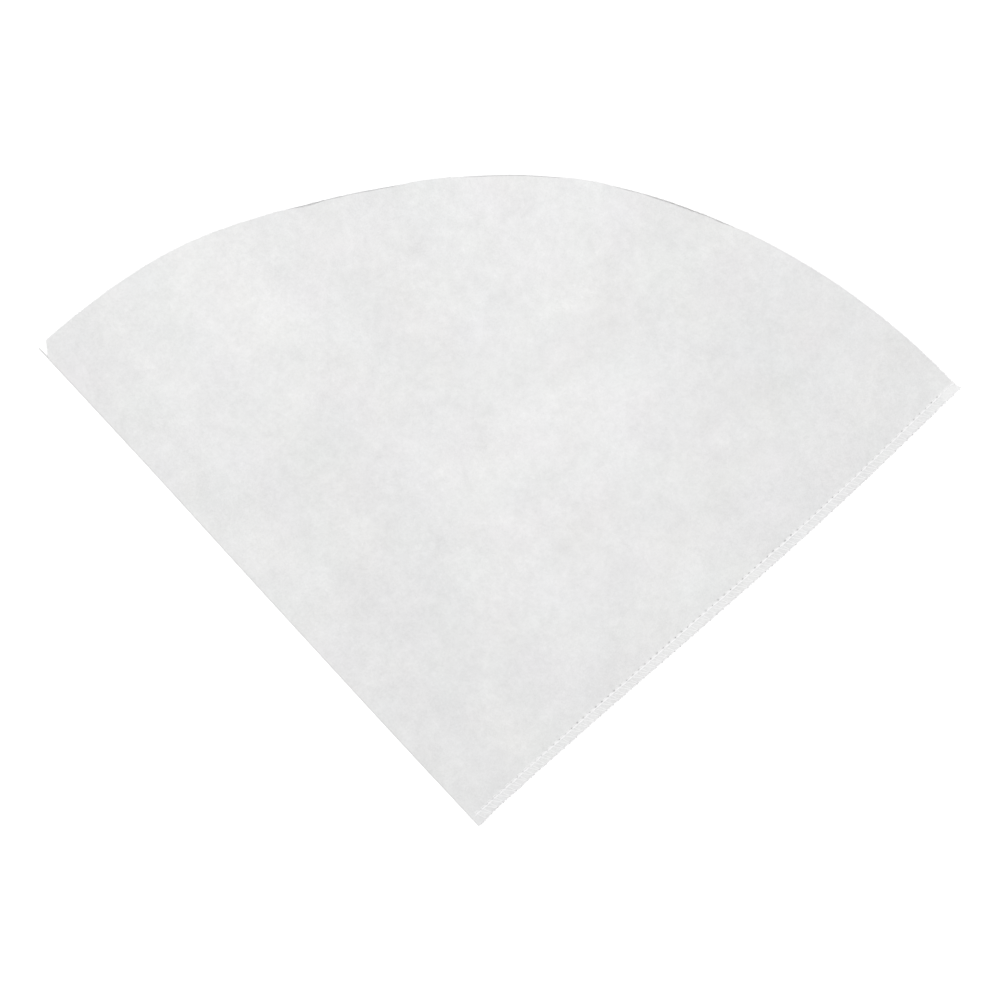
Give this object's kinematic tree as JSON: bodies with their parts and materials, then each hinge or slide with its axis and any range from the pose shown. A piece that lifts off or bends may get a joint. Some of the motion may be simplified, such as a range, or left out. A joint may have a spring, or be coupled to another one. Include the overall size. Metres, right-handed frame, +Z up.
{
  "type": "filter cone",
  "caption": "Flat-folded filter cone of white non-woven cloth: a folded half disc with an overlocked seam along one straight side and an open, curved rim.",
  "frame": {"origin": "on the surface that the folded cone lies on, under the middle of its bounding box", "axes": "+Z up out of the upper layer, +Y from the tip towards the middle of the rim, +X towards the sewn side, with the fold on the -X side"},
  "size_m": [0.3614, 0.2548, 0.0105],
  "materials": {
    "cloth": "matte bonded fibres",
    "thread": "spun polyester"
  },
  "bodies": {
    "root": {"filter_sheet": "cloth", "needle_thread": "thread", "upper_looper_thread": "thread", "lower_looper_thread": "thread"}
  },
  "joints": []
}
